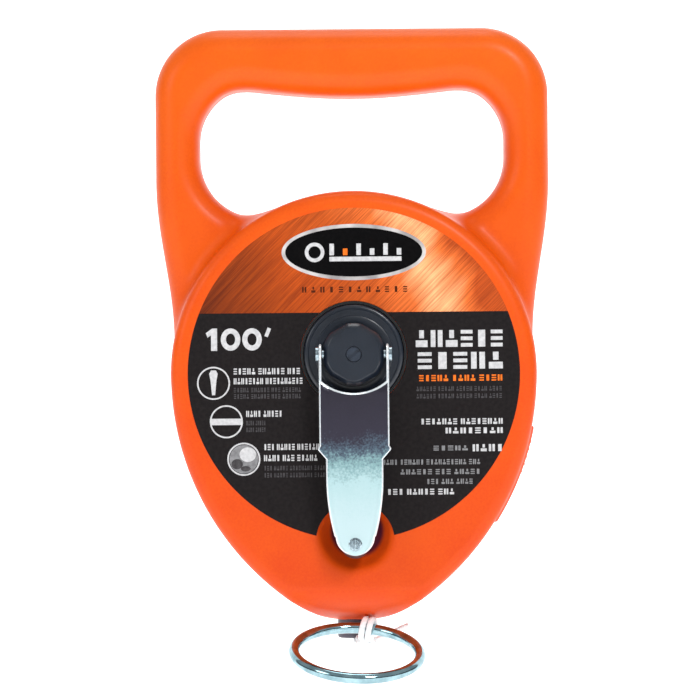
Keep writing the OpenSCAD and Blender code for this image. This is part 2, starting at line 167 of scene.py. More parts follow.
class Surface:
    """A principled material with the few procedural steps that all of them share."""

    def __init__(self, name, roughness=0.5, metallic=0.0, **sockets):
        self.material = M[name] = bpy.data.materials.new(name)
        self.material.use_nodes = True
        self.nodes = self.material.node_tree.nodes
        self.links = self.material.node_tree.links
        self.shader = self.nodes["Principled BSDF"]
        self.shader.inputs["Roughness"].default_value = roughness
        self.shader.inputs["Metallic"].default_value = metallic
        for socket, value in sockets.items():
            self.shader.inputs[socket.replace("_", " ")].default_value = value
        self.place = self.nodes.new("ShaderNodeTexCoord")

    def noise(self, size, detail, stretch=(1, 1, 1), turn=(0, 0, 0)):
        """Noise of about this size in millimetres, drawn out along its axes and then turned."""
        mapping = self.nodes.new("ShaderNodeMapping")
        mapping.vector_type = "TEXTURE"
        mapping.inputs["Scale"].default_value = stretch
        mapping.inputs["Rotation"].default_value = [math.radians(a) for a in turn]
        self.links.new(self.place.outputs["Object"], mapping.inputs["Vector"])
        node = self.nodes.new("ShaderNodeTexNoise")
        node.inputs["Scale"].default_value = 1 / (size * MM)
        node.inputs["Detail"].default_value = detail
        self.links.new(mapping.outputs["Vector"], node.inputs["Vector"])
        return node.outputs["Fac"]

    def around(self, x, v, near, far):
        """1 within a distance of a line through the face, fading to 0 at a farther one."""
        flat = self.nodes.new("ShaderNodeVectorMath")
        flat.operation = "MULTIPLY"
        flat.inputs[1].default_value = (1, 0, 1)
        self.links.new(self.place.outputs["Object"], flat.inputs[0])
        gap = self.nodes.new("ShaderNodeVectorMath")
        gap.operation = "DISTANCE"
        gap.inputs[1].default_value = (x * MM, 0, v * MM + DRUM_Z)
        self.links.new(flat.outputs["Vector"], gap.inputs[0])
        return self.span(gap.outputs["Value"], far * MM, near * MM, kind="SMOOTHSTEP")

    def along(self, axis, low, high):
        """How far the surface is between two places on X, Y or Z, in metres, from 0 to 1."""
        split = self.nodes.new("ShaderNodeSeparateXYZ")
        self.links.new(self.place.outputs["Object"], split.inputs["Vector"])
        return self.span(split.outputs[axis], low, high)

    def span(self, value, low, high, start=0, end=1, kind="LINEAR"):
        """A value between low and high carried over to between start and end."""
        node = self.nodes.new("ShaderNodeMapRange")
        node.interpolation_type = kind
        for name, number in (("From Min", low), ("From Max", high), ("To Min", start), ("To Max", end)):
            node.inputs[name].default_value = number
        self.links.new(value, node.inputs["Value"])
        return node.outputs["Result"]

    def ramp(self, value, stops):
        """Colours by value; three numbers are a screen colour and four are a linear one."""
        node = self.nodes.new("ShaderNodeValToRGB")
        set_ramp(node, [(place, c if len(c) == 4 else linear(*c)) for place, c in stops])
        self.links.new(value, node.inputs["Fac"])
        return node.outputs["Color"]

    def math(self, kind, a, b):
        node = self.nodes.new("ShaderNodeMath")
        node.operation = kind
        for socket, value in zip(node.inputs, (a, b)):
            if isinstance(value, (int, float)):
                socket.default_value = value
            else:
                self.links.new(value, socket)
        return node.outputs["Value"]

    def blend(self, a, share_a, b, share_b):
        """Two patterns added together in these shares."""
        return self.math("ADD", self.math("MULTIPLY", a, share_a), self.math("MULTIPLY", b, share_b))

    def mix(self, amount, a, b, kind="MIX"):
        node = self.nodes.new("ShaderNodeMix")
        node.data_type = "RGBA"
        node.blend_type = kind
        for name, value in (("Factor_Float", amount), ("A_Color", a), ("B_Color", b)):
            socket = next(s for s in node.inputs if s.identifier == name)
            if isinstance(value, (int, float, tuple)):
                socket.default_value = value
            else:
                self.links.new(value, socket)
        return next(s for s in node.outputs if s.identifier == "Result_Color")

    def colour(self, value):
        self.links.new(value, self.shader.inputs["Base Color"])

    def rough(self, value, low, high):
        self.links.new(self.span(value, 0, 1, low, high), self.shader.inputs["Roughness"])

    def bump(self, value, height, strength):
        """Relief of this height in millimetres."""
        node = self.nodes.new("ShaderNodeBump")
        node.inputs["Distance"].default_value = height * MM
        node.inputs["Strength"].default_value = strength
        self.links.new(value, node.inputs["Height"])
        self.links.new(node.outputs["Normal"], self.shader.inputs["Normal"])


def plastic(name, light, dark, grain=0.9, height=0.05, roughness=(0.3, 0.42), coat=0.0):
    """Moulded plastic: cloudy colour, fine grain and a little variation in its gloss."""
    s = Surface(name, Coat_Weight=coat, Coat_Roughness=0.15)
    s.colour(s.ramp(s.blend(s.noise(22, 2), 0.7, s.noise(grain, 4), 0.3), [(0.3, dark), (0.7, light)]))
    s.rough(s.noise(6, 4), *roughness)
    s.bump(s.noise(grain * 0.6, 2), height, 0.35)


def steel(name, light, dark):
    """Drawn or turned steel with fine marks along one direction."""
    s = Surface(name, metallic=1.0)
    stretch = (1, 1, 33)
    streak = s.noise(0.35, 3, stretch)
    s.colour(s.ramp(streak, [(0.3, dark), (0.7, light)]))
    s.rough(s.noise(0.5, 3, stretch), 0.18, 0.34)
    s.bump(streak, 0.01, 0.3)


def orange_case():
    s = Surface("orange_case", Coat_Weight=0.04, Coat_Roughness=0.2, Specular_IOR_Level=0.2)
    # Painted light: the orange runs lighter towards the top and darker towards the bottom, as if lit from
    # above; the mottle mixed over it is the plastic's own
    rise = s.along("Z", -0.185, 0.01)
    body = s.ramp(rise, [(0, (210, 64, 9)), (0.4, (221, 76, 8)), (1, (228, 97, 8))])
    mottle = s.blend(s.noise(18, 2), 0.5, s.noise(0.8, 3), 0.5)
    skin_and_top_light = s.mix(0.35, body, s.ramp(mottle, [(0.35, (207, 62, 8)), (0.65, (228, 92, 8))]))
    # Painted shade: a dark purple patch in the dish beside the crank's tip, where the crank and knob shade
    # it
    sunk = s.along("Y", -(FACE - 0.5) * MM, -(FACE - 4) * MM)
    front = s.along("Y", -8 * MM, -12 * MM)
    shade = s.math("MULTIPLY", s.around(0.6, DISH_V + 0.8, 7.8, 9.6), s.math("MULTIPLY", sunk, front))
    s.colour(s.mix(shade, skin_and_top_light, linear(76, 20, 40)))
    s.rough(s.noise(5, 4), 0.34, 0.46)
    s.bump(s.noise(0.5, 2), 0.04, 0.4)


def copper_print():
    """Copper foil with brushed streaks that lean down to the right, its colour a painted reflection: dark
    at the left and a bright gleam right of the middle.
    """
    s = Surface("copper_print", metallic=0.1, Specular_IOR_Level=0.2)
    lean = (0, 45, 0)
    rise = s.along("Z", LABEL_SPLIT * MM + DRUM_Z, LABEL_R * MM + DRUM_Z)
    place = s.math("ADD", s.along("X", -LABEL_R * MM, LABEL_R * MM), s.math("MULTIPLY", rise, 0.16))
    wander = s.math("ADD", place, s.math("MULTIPLY", s.noise(9, 2, (1, 1, 5), lean), 0.16))
    # Painted reflection: the copper's colour runs from dark at the left to a bright gleam right of the
    # middle, leaning with the streaks
    painted_reflection = s.ramp(wander, [(0.12, (104, 38, 2)), (0.32, (146, 58, 4)), (0.46, (178, 72, 10)),
                           (0.66, (188, 82, 22)), (0.78, (224, 110, 48)), (0.87, (255, 178, 126)),
                           (0.96, (222, 108, 46)), (1, (180, 74, 20))])
    streak = s.noise(0.28, 5, (1, 1, 40), lean)
    lines = s.ramp(streak, [(0.36, (0.6, 0.5, 0.42, 1)), (0.64, (1.3, 1.28, 1.25, 1))])
    s.colour(s.mix(0.75, painted_reflection, lines, "MULTIPLY"))
    s.rough(streak, 0.36, 0.55)
    s.bump(streak, 0.01, 0.2)


def polished_crank():
    """Plated steel with a painted reflection: bright at the knob and dark at the hinge, with a grainy
    change between.
    """
    s = Surface("polished_crank", metallic=0.4)
    # Painted reflection: the colour runs from pale at the knob to dark at the hinge
    place = s.along("Z", (KNOB_V - 4) * MM + DRUM_Z, (HUB_V - 12) * MM + DRUM_Z)
    grain = s.blend(s.noise(0.6, 4), 0.24, s.noise(5, 3), 0.16)
    painted_reflection = s.ramp(s.math("ADD", place, s.math("SUBTRACT", grain, 0.2)),
                  [(0.22, (194, 220, 224)), (0.46, (180, 213, 216)), (0.56, (136, 174, 178)),
                   (0.65, (80, 98, 114)), (0.73, (50, 47, 62)), (1, (43, 40, 52))])
    s.colour(painted_reflection)
    s.rough(s.noise(0.6, 3), 0.24, 0.4)
    s.bump(s.noise(0.35, 3), 0.02, 0.25)


def crank_edge_highlight():
    """The crank's rolled edges, painted near white and brighter than its face as a highlight."""
    s = Surface("crank_edge_highlight", metallic=0.3)
    s.colour(s.ramp(s.noise(0.8, 4), [(0.35, (214, 226, 232)), (0.65, (246, 250, 252))]))
    s.rough(s.noise(0.5, 3), 0.14, 0.28)
    s.bump(s.noise(0.3, 3), 0.01, 0.2)


def braid(name, light, dark):
    """Braided line: crossed strands and a soft, fibrous sheen."""
    s = Surface(name, roughness=0.85, Sheen_Weight=0.4)
    fibre = s.noise(0.35, 3)
    s.colour(s.ramp(s.blend(fibre, 0.6, s.noise(2.5, 2), 0.4), [(0.35, dark), (0.6, light)]))
    s.bump(fibre, 0.06, 0.6)


def felt(name, light, dark):
    s = Surface(name, roughness=0.95, Sheen_Weight=0.3)
    s.colour(s.ramp(s.noise(0.6, 5), [(0.35, dark), (0.65, light)]))
    s.bump(s.noise(0.3, 4), 0.15, 0.8)


def ink(name, light, dark, patch=1.2):
    """Satin print with the faint unevenness of a screened film."""
    s = Surface(name, Specular_IOR_Level=0.05)
    s.colour(s.ramp(s.noise(patch, 4), [(0.35, dark), (0.65, light)]))
    s.rough(s.noise(3, 3), 0.4, 0.55)
    s.bump(s.noise(0.4, 2), 0.008, 0.2)


def chrome():
    s = Surface("chrome_ring", metallic=1.0)
    s.colour(s.ramp(s.noise(4, 3), [(0.3, (118, 152, 162)), (0.7, (164, 196, 204))]))
    s.rough(s.noise(2, 4), 0.04, 0.12)
    s.bump(s.noise(1.5, 3), 0.01, 0.15)


orange_case()
plastic("orange_door", (236, 84, 12), (216, 62, 10), coat=0.1)
ink("black_print", (34, 31, 31), (28, 25, 26))
copper_print()
ink("white_print", (206, 206, 207), (184, 184, 186))
ink("grey_print", (140, 140, 142), (116, 116, 118))
ink("dim_print", (78, 76, 78), (62, 60, 62))
ink("orange_print", (240, 120, 40), (222, 104, 30))
ink("brown_print", (88, 42, 22), (70, 32, 16))
ink("silver_print", (214, 210, 208), (150, 146, 146), 9)
ink("badge_print", (9, 8, 9), (4, 4, 5))
plastic("dark_hub", (24, 34, 47), (14, 20, 30), 0.8, 0.03, (0.24, 0.38), 0.2)
plastic("dark_nozzle", (74, 72, 84), (52, 50, 60), 0.7, 0.05, (0.4, 0.55))
plastic("black_knob", (40, 38, 42), (26, 25, 28), 0.7, 0.05, (0.38, 0.5))
plastic("spool_plastic", (226, 226, 222), (206, 206, 202))
polished_crank()
crank_edge_highlight()
steel("steel_pins", (196, 214, 222), (128, 146, 156))
steel("steel_screws", (186, 188, 190), (132, 134, 138))
plastic("dark_screw", (48, 60, 76), (30, 37, 50), 0.5, 0.02, (0.25, 0.4))
steel("brass_bush", (220, 184, 112), (176, 138, 74))
chrome()
braid("white_line", (250, 250, 250), (214, 222, 226))
braid("chalked_line", (92, 150, 220), (60, 108, 186))
felt("wool_felt", (222, 216, 196), (190, 184, 164))
felt("dark_felt", (20, 19, 21), (10, 10, 11))


# ---------------------------------------------------------------- mesh helpers


def in_scene(name, data):
    """A new object in the scene for a mesh, a light or a camera."""
    obj = bpy.data.objects.new(name, data)
    bpy.context.scene.collection.objects.link(obj)
    return obj


def smooth_mesh(mesh, material, sharp):
    """One material and smooth shading, but for edges sharper than this many degrees."""
    mesh.materials.append(material)
    mesh.shade_smooth()
    mesh.set_sharp_from_angle(angle=math.radians(sharp))


def finish_piece(obj, body, nodes):
    """Says which body a piece rides and the CAD nodes that it replaces."""
    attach(obj, body)
    if nodes:
        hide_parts(*nodes)
    return obj


def arc(cx, cy, radius, start, end, steps):
    """Points on an arc, angles in degrees, both ends included."""
    angles = np.radians(np.linspace(start, end, steps + 1))
    return [(cx + radius * math.cos(a), cy + radius * math.sin(a)) for a in angles]


class Build:
    """Collects closed solids into one mesh."""

    def __init__(self):
        self.verts = []
        self.faces = []

    def add(self, verts, faces):
        base = len(self.verts)
        self.verts += [tuple(p) for p in verts]
        self.faces += [[base + i for i in face] for face in faces]

    def plate(self, outline, low, high, place):
        """An outline given thickness; place(a, b, height) puts it."""
        self.loft([[place(a, b, level) for a, b in outline] for level in (low, high)])

    def lathe(self, profile, place, steps=96):
        """A closed profile of (radius, height) turned about an axis; place(a, b, height) puts it."""
        n = len(profile)
        verts = []
        for k in range(steps):
            a = 2 * math.pi * k / steps
            verts += [place(r * math.cos(a), r * math.sin(a), h) for r, h in profile]
        faces = []
        for k in range(steps):
            here = k * n
            there = (k + 1) % steps * n
            for i in range(n):
                j = (i + 1) % n
                faces.append([here + i, there + i, there + j, here + j])
        self.add(verts, faces)

    def loft(self, rings, folded=False):
        """A skin through rings of equal length; folded rings have ends closed from side to side."""
        n = len(rings[0])
        verts = [p for ring in rings for p in ring]
        last = n * (len(rings) - 1)
        if folded:
            faces = [[i, n - 1 - i, n - 2 - i, i + 1] for i in range(n // 2 - 1)]
            faces += [[last + i for i in face[::-1]] for face in faces]
        else:
            faces = [list(range(n))[::-1], [last + i for i in range(n)]]
        for k in range(len(rings) - 1):
            for i in range(n):
                j = (i + 1) % n
                faces.append([k * n + i, k * n + j, (k + 1) * n + j, (k + 1) * n + i])
        self.add(verts, faces)

    def object(self, name, material, sharp):
        mesh = bpy.data.meshes.new(name)
        mesh.from_pydata([world(p) for p in self.verts], [], self.faces)
        smooth_mesh(mesh, M[material], sharp)
        return in_scene(name, mesh)

    def piece(self, name, material, sharp, body, slot, *nodes):
        """The mesh as a finished piece, in place of these CAD nodes."""
        return finish_piece(self.object(name, material, sharp), body, nodes)


def inset(outline, amount):
    """A counterclockwise outline drawn in by a small amount."""
    p = np.array(outline, float)
    before = p - np.roll(p, 1, axis=0)
    after = np.roll(p, -1, axis=0) - p
    before /= np.linalg.norm(before, axis=1)[:, None]
    after /= np.linalg.norm(after, axis=1)[:, None]
    along = before + after
    along /= np.maximum(np.linalg.norm(along, axis=1)[:, None], 1e-6)
    spread = np.maximum((along * before).sum(axis=1), 0.5)[:, None]
    inward = np.stack([-along[:, 1], along[:, 0]], axis=1)
    return [tuple(q) for q in p + inward * amount / spread]


def at_hub(a, b, h):
    return (a, HUB_V + b, h)


def at_knob(a, b, h):
    return (a, KNOB_V + b, h)


def smooth_path(points, steps):
    """A Catmull-Rom curve through points, with this many steps between each two."""
    p = np.array(points, float)
    p = np.vstack([2 * p[0] - p[1], p, 2 * p[-1] - p[-2]])
    path = []
    for i in range(1, len(p) - 2):
        for t in np.arange(steps) / steps:
            a, b, c, d = p[i - 1 : i + 3]
            path.append(0.5 * (2 * b + (c - a) * t + (2 * a - 5 * b + 4 * c - d) * t**2
                               + (3 * b - a - 3 * c + d) * t**3))
    path.append(p[-2])
    return np.array(path)


def tube_rings(path, sides, relief):
    """Rings round a path of line, with a braid's crossed strands as relief on them."""
    strands, lay = 4, 2.2
    heading = np.gradient(path, axis=0)
    heading /= np.linalg.norm(heading, axis=1)[:, None]
    far = np.concatenate([[0], np.cumsum(np.linalg.norm(np.diff(path, axis=0), axis=1))])
    side = np.cross(heading[0], (0.3, 0.2, 0.93))
    rings = []
    for p, h, s in zip(path, heading, far):
        side = side - h * np.dot(side, h)
        side /= np.linalg.norm(side)
        other = np.cross(h, side)
        ring = []
        for k in range(sides):
            a = 2 * math.pi * k / sides
            turn = 2 * math.pi * s / lay
            weave = max(math.cos(strands * a + turn), math.cos(strands * a - turn))
            r = LINE_R - relief * (1 - weave) / 2
            ring.append(p + r * (math.cos(a) * side + math.sin(a) * other))
        rings.append(ring)
    return rings


# ---------------------------------------------------------------- camera and light


def aim(obj, target):
    obj.rotation_euler = (Vector(target) - obj.location).to_track_quat("-Z", "Y").to_euler()


def camera():
    """The photograph's view, square on to the face, sized by the handle's front behind it."""
    distance = 1.6
    to_handle = 0.01
    frame_width = 0.2302
    frame_mid = (-1.2, 7.8)
    roll = -0.5
    data = bpy.data.cameras.new("camera")
    data.sensor_width = 36
    data.lens = data.sensor_width * (distance + to_handle) / frame_width
    obj = in_scene("camera", data)
    obj.location = world((*frame_mid, FACE + distance / MM))
    aim(obj, world((*frame_mid, 0)))
    obj.rotation_euler.rotate_axis("Z", math.radians(roll))
    bpy.context.scene.camera = obj


def area_light(name, place, target, size, power):
    data = bpy.data.lights.new(name, "AREA")
    data.shape = "DISK"
    data.size = size
    data.energy = power
    obj = in_scene(name, data)
    obj.location = place
    aim(obj, target)


def studio():
    """Soft lights round the reel, and a sky with a dark horizon for the metal to reflect."""
    middle = (0, 0, -0.09)
    area_light("key", (0.45, -1.0, 0.55), middle, 0.3, 6.6)
    area_light("fill", (-0.9, -0.7, 0.3), middle, 0.5, 2.4)
    area_light("top", (0.0, 0.1, 0.9), middle, 0.5, 2.4)
    area_light("back", (0.2, 0.9, 0.5), middle, 0.5, 0.8)
    scene = bpy.context.scene
    scene.world = bpy.data.worlds.new("studio")
    scene.world.use_nodes = True
    nodes = scene.world.node_tree.nodes
    links = scene.world.node_tree.links
    place = nodes.new("ShaderNodeTexCoord")
    split = nodes.new("ShaderNodeSeparateXYZ")
    ramp = nodes.new("ShaderNodeValToRGB")
    lift = nodes.new("ShaderNodeMapRange")
    lift.inputs["From Min"].default_value = -1
    links.new(place.outputs["Generated"], split.inputs["Vector"])
    links.new(split.outputs["Z"], lift.inputs["Value"])
    links.new(lift.outputs["Result"], ramp.inputs["Fac"])
    stops = [(0.0, (0.5, 0.56, 0.58, 1)), (0.44, (0.6, 0.68, 0.7, 1)), (0.5, (0.12, 0.12, 0.14, 1)),
             (0.56, (0.16, 0.16, 0.18, 1)), (0.68, (0.95, 0.97, 1.0, 1)), (1.0, (1.0, 1.0, 1.0, 1))]
    set_ramp(ramp, stops)
    links.new(ramp.outputs["Color"], nodes["Background"].inputs["Color"])
    nodes["Background"].inputs["Strength"].default_value = 0.48
    scene.view_settings.view_transform = "Standard"


def backdrop():
    """A pale floor that curves up behind the reel, low enough for the ring to swing clear of it."""
    floor = cad_box[0][2] - 0.035
    near, bend, rise, half, high = -2.5, 0.9, 0.5, 3.0, 3.0
    profile = [(near, floor), *arc(bend, floor + rise, rise, -90, 0, 12), (bend + rise, high)]
    mesh = bpy.data.meshes.new("backdrop")
    verts = [(x, y, z) for y, z in profile for x in (-half, half)]
    mesh.from_pydata(verts, [], [[i, i + 1, i + 3, i + 2] for i in range(0, len(verts) - 2, 2)])
    mesh.shade_smooth()
    s = Surface("pale_floor", roughness=0.9)
    s.colour(s.ramp(s.noise(60, 2), [(0.3, (0.9, 0.9, 0.9, 1)), (0.7, (0.93, 0.93, 0.93, 1))]))
    s.shader.inputs["Emission Color"].default_value = (1, 1, 1, 1)
    s.shader.inputs["Emission Strength"].default_value = 0.78
    mesh.materials.append(s.material)
    in_scene("backdrop", mesh)


# ---------------------------------------------------------------- line and knot


def from_ring(p):
    """A point in the ring's own plane, where its wire runs along X at the origin, as it hangs."""
    q = Vector(p)
    for angles in ((0, RING_SKEW, 0), (RING_DIP, 0, 0), (0, 0, -RING_ROLL)):
        q.rotate(Euler([math.radians(a) for a in angles]))
    return q + RING_AT


def line_end():
    """The line out of the nozzle, wound on the ring and hanging free past it."""
    to_ring = [(0, -84, 0), (0, -86.4, 0), (0.1, -88, 0.8), (0.4, -88.9, 2.4), (0.9, -89, 4.6),
               (1.5, -89, 7), (2.1, -88.9, 9.4), (2.5, -88.3, 11.6)]
    tail = [(5, -86.6, 10.4), (4.9, -87.8, 9), (6.4, -87.9, 8), (8.6, -87.4, 8), (10.8, -86.4, 8.6),
            (13, -85.2, 9.2), (15.2, -84.1, 9.6), (17.4, -83.2, 9.8)]
    turns, steps, pitch = 2, 12, 2.2
    radius = WIRE_R + LINE_R + 0.4
    loop = []
    for i in range(turns * steps - 1):
        a = 2 * math.pi * i / steps
        along = pitch * (i / steps - turns / 2)
        loop.append(from_ring((along, -radius * math.cos(a), radius * math.sin(a))))
    path = smooth_path(to_ring + [tuple(p) for p in loop] + tail, 5)
    build = Build()
    build.loft(tube_rings(path, 24, 0.14))
    obj = build.piece("line_end_braid", "white_line", 60, "case", "white_line", "line_end")
    line_knot()


def line_knot():
    """Two and a half turns of the line drawn tight round itself."""
    centre = np.array((3.2, -88, 8.4))
    turns, steps, radius, half = 2.5, 60, 1.25, 2.6
    path = []
    for i in range(steps + 1):
        t = i / steps
        a = 2 * math.pi * turns * t
        swell = radius * math.sin(math.pi * min(max(t, 0.06), 0.94)) ** 0.3
        path.append(centre + (half * (2 * t - 1), swell * math.cos(a), swell * math.sin(a)))
    build = Build()
    build.loft(tube_rings(np.array(path), 20, 0.12))
    return build.piece("line_knot_turns", "white_line", 60, "case", "white_line", "line_knot")


# ---------------------------------------------------------------- case


def soft_min(a, b, k):
    """The smaller of two fields, with the join blended over k millimetres."""
    h = np.clip(0.5 + 0.5 * (b - a) / k, 0, 1)
    return b + (a - b) * h - k * h * (1 - h)


def soft_max(a, b, k):
    return -soft_min(-a, -b, k)


def rounded(a, b, edge):
    """Two fields that meet in a rounded edge."""
    a = a + edge
    b = b + edge
    return np.minimum(np.maximum(a, b), 0) + np.hypot(np.maximum(a, 0), np.maximum(b, 0)) - edge


def drum_flat(x, v):
    """The drum's outline: a disc with flanks that run down to a smaller, round nose."""
    drum = np.hypot(x, v) - DRUM_R
    flank = np.hypot(np.abs(x) + FLANK_X, v) - FLANK_R
    nose_from, nose_over, far_off = -60, 16, 60
    fade = far_off * np.clip((v - nose_from + nose_over) / nose_over, 0, 1) ** 2
    nose = np.hypot(x, v - NOSE_V) - NOSE_R - fade
    return np.minimum(drum, np.maximum(soft_max(flank, nose, 0.8), v))


def drum_field(x, v, w, wall=0.0, edge=4.0):
    """The drum with rounded rims and a nose rounded off front and back, a wall's thickness in."""
    body = rounded(drum_flat(x, v) + wall, np.abs(w) - FACE + wall, edge)
    nose_half = 25.4
    drop = np.maximum(NOSE_BEND_V - v, 0) / NOSE_ROUND
    end = (np.hypot(drop, w / nose_half) - 1) * NOSE_ROUND + wall
    return soft_max(body, end, 0.3)


def handle_flat(x, v):
    """The handle's outline and its opening, into which the grip swells."""
    legs = np.clip((v - LEG_LOW) / LEG_RISE, 0, 1)
    half = HANDLE_HALF - LEG_FLARE * (1 + np.cos(np.pi * legs)) / 2
    outer = rounded(np.abs(x) - half, v - HANDLE_TOP, HANDLE_CORNER)
    middle = (OPENING_TOP + OPENING_LOW) / 2
    half_tall = (OPENING_TOP - OPENING_LOW) / 2
    upper_r, lower_r = 18.5, 20
    corner = np.where(v > middle, upper_r, lower_r)
    opening = rounded(np.abs(x) - OPENING_HALF, np.abs(v - middle) - half_tall, corner)
    grip = np.hypot(x, v - SWELL_LOW - SWELL_R) - SWELL_R
    opening = soft_max(opening, -grip, 6.5)
    return np.maximum(np.maximum(outer, -opening), LEG_LOW - v)


def flank_band(x, v, w, r0, r1, half, start, end):
    """A band of a cylinder between two angles below level, round the flank's centre."""
    rho = np.hypot(x + FLANK_X, v)
    angle = np.degrees(np.arctan2(-v, x + FLANK_X))
    arc_mm = np.radians(1) * rho
    field = np.maximum(r0 - rho, rho - r1)
    field = np.maximum(field, np.abs(w) - half)
    return np.maximum(field, np.maximum(start - angle, angle - end) * arc_mm)


def case_field(x, v, w):
    """The case's plastic, below 0: a hollowed body with parts kept inside it and holes cut."""
    from_hub = np.hypot(x, v - HUB_V)
    from_screws = [np.hypot(x - screw_x, v - screw_v) for screw_x, screw_v in SCREWS]
    dish = np.sqrt(x**2 + (v - DISH_V) ** 2 + (w - DISH_W) ** 2) - DISH_BALL
    handle = rounded(handle_flat(x, v), np.abs(w) - HANDLE_HALF_DEPTH, HANDLE_EDGE)
    blend = 0.6 + 5.4 * np.clip((v - 12) / 24, 0, 1)
    body = soft_min(drum_field(x, v, w), handle, blend)

    door_frame = flank_band(x, v, w, 86.2, 95, 19, 6, 56)
    hub_seat = np.maximum(from_hub - 20, 19 - w)
    rear_boss = np.maximum(from_hub - 9, w + 17)
    nozzle_block = np.maximum(np.maximum(np.abs(x) - 10, np.abs(w) - 9.5), v - NOZZLE_TOP - 1.5)
    posts = [gap - SCREW_POST_R for gap in from_screws]
    hollow = drum_field(x, v, w, WALL, 1.5)
    for keep in (door_frame, hub_seat, rear_boss, dish - 2.4, nozzle_block, *posts):
        hollow = np.maximum(hollow, -keep)
    body = soft_max(body, -hollow, 0.5)
    body = soft_max(body, -dish, 2.5)

    door_channel = flank_band(x, v, w, CHANNEL_R, 99, DOOR_HALF + DOOR_GAP, DOOR_FROM - 1,
                              DOOR_TO + DOOR_TRAVEL + 1)
    chalk_mouth = flank_band(x, v, w, 80, 92, 12, DOOR_FROM + 2, DOOR_TO - 2.2)
    hub_recess = np.maximum(from_hub - RECESS_R, RECESS_W - w)
    bush_bore = np.maximum(from_hub - BUSH_R, 10 - w)
    nozzle_bore = np.maximum(np.hypot(x, w) - NOZZLE_R - 0.05, v - NOZZLE_TOP)
    holes = [np.maximum(gap - SCREW_HOLE_R, w - SCREW_SEAT) for gap in from_screws]
    for cut in (door_channel, chalk_mouth, hub_recess, bush_bore, nozzle_bore, *holes):
        body = soft_max(body, -cut, 0.7)
    return body


def skin(field, low, high, step):
    """Vertices and quads over a field's zero level: surface nets, then drawn onto the level."""
    axes = [np.arange(a, b + step, step) for a, b in zip(low, high)]
    d = field(*np.meshgrid(*axes, indexing="ij"))
    inside = d < 0
    corners = [(i, j, k) for i in (0, 1) for j in (0, 1) for k in (0, 1)]
    size = [n - 1 for n in d.shape]

    def corner(values, c):
        return values[tuple(slice(o, o + n) for o, n in zip(c, size))]

    count = sum(corner(inside, c).astype(np.int8) for c in corners)
    mixed = (count > 0) & (count < 8)
    index = np.full(mixed.shape, -1)
    index[mixed] = np.arange(mixed.sum())
    cell = np.stack(np.nonzero(mixed), axis=1)
    total = np.zeros((len(cell), 3))
    hits = np.zeros((len(cell), 1))
    for a in corners:
        for axis in range(3):
            if a[axis]:
                continue
            b = tuple(o + (i == axis) for i, o in enumerate(a))
            da = d[tuple((cell + a).T)]
            db = d[tuple((cell + b).T)]
            cross = (da < 0) != (db < 0)
            t = np.where(cross, da / np.where(cross, da - db, 1), 0)
            point = cell + np.array(a) + t[:, None] * (np.arange(3) == axis)
            total += np.where(cross[:, None], point, 0)
            hits += cross[:, None]
    verts = np.array(low) + step * total / hits
    nudge = 0.02
    for _ in range(4):
        value = field(*verts.T)
        slope = np.stack([field(*(verts + nudge * (np.arange(3) == a)).T)
                          - field(*(verts - nudge * (np.arange(3) == a)).T) for a in range(3)], axis=1)
        slope /= 2 * nudge
        move = -value[:, None] * slope / np.maximum((slope**2).sum(axis=1), 0.2)[:, None]
        verts = verts + np.clip(move, -0.4 * step, 0.4 * step)
    faces = []
    for axis in range(3):
        b, c = (axis + 1) % 3, (axis + 2) % 3
        here = [slice(1, -1)] * 3
        there = list(here)
        here[axis] = slice(0, -1)
        there[axis] = slice(1, None)
        first = inside[tuple(here)]
        change = first != inside[tuple(there)]
        base = np.stack(np.nonzero(change), axis=1) + (np.arange(3) != axis)
        quad = []
        for ob, oc in ((-1, -1), (0, -1), (0, 0), (-1, 0)):
            at = base.copy()
            at[:, b] += ob
            at[:, c] += oc
            quad.append(index[tuple(at.T)])
        quad = np.stack(quad, axis=1)
        out = first[change]
        faces += quad[out].tolist() + quad[~out][:, ::-1].tolist()
    return verts, faces


def cap(bm, edges, level, upward):
    """Triangles that close a shell where it is cut, on the plastic only."""
    rim = list({v: None for e in edges for v in e.verts})
    number = {v: i for i, v in enumerate(rim)}
    flat = [Vector((v.co.x, v.co.z)) for v in rim]
    lines = [tuple(number[v] for v in e.verts) for e in edges]
    points, _, triangles, origin, _, _ = delaunay_2d_cdt(flat, lines, [], 1, 1e-5)
    ends = [rim[o[0]] if o else bm.verts.new((p.x, level, p.y)) for p, o in zip(points, origin)]
    middle = np.array([[sum(points[i][axis] for i in t) / 3 for axis in (0, 1)] for t in triangles])
    solid = case_field(middle[:, 0], middle[:, 1] - DRUM_Z / MM, np.full(len(middle), -level)) < 0
    for triangle, inside in zip(triangles, solid):
        if inside:
            bm.faces.new([ends[i] for i in (triangle[::-1] if upward else triangle)])


def shell(name, whole, keep_front, node):
    """One half of the case, parted from the whole skin a little off the middle plane."""
    gap = 0.12
    bm = bmesh.new()
    bm.from_mesh(whole)
    level = -gap if keep_front else gap
    cut = bmesh.ops.bisect_plane(bm, geom=bm.verts[:] + bm.edges[:] + bm.faces[:], dist=1e-4,
                                 plane_co=(0, level, 0), plane_no=(0, 1, 0),
                                 clear_outer=keep_front, clear_inner=not keep_front)
    edges = [e for e in cut["geom_cut"] if isinstance(e, bmesh.types.BMEdge)]
    cap(bm, edges, level, keep_front)
    bmesh.ops.scale(bm, vec=(MM, MM, MM), verts=bm.verts)
    mesh = bpy.data.meshes.new(name)
    bm.to_mesh(mesh)
    bm.free()
    smooth_mesh(mesh, M["orange_case"], 50)
    finish_piece(in_scene(name, mesh), "case", [node])


